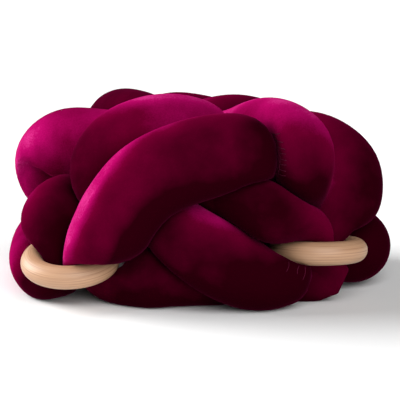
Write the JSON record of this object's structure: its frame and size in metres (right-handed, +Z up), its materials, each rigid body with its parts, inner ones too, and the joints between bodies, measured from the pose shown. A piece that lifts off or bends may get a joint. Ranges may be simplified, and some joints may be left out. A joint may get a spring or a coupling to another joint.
{
  "type": "knot ottoman",
  "caption": "Low round floor seat made from a thick stuffed velvet tube knotted on itself, with plain wooden rings drawn around its front crossings.",
  "frame": {"origin": "on the floor, under the middle of the whole ottoman", "axes": "+X to the right as seen from the front, +Y to the back, +Z up; the wooden rings are at the front, -Y"},
  "size_m": [0.6046, 0.57, 0.3096],
  "materials": {
    "velvet": "short-pile magenta velvet, dark crimson where the pile lies flat and bright pink where its tips show",
    "wood": "pale turned beech, sanded smooth, thin satin oil"
  },
  "bodies": {
    "root": {"velvet_tube": "velvet", "ring_left": "wood", "ring_right": "wood"}
  },
  "joints": []
}
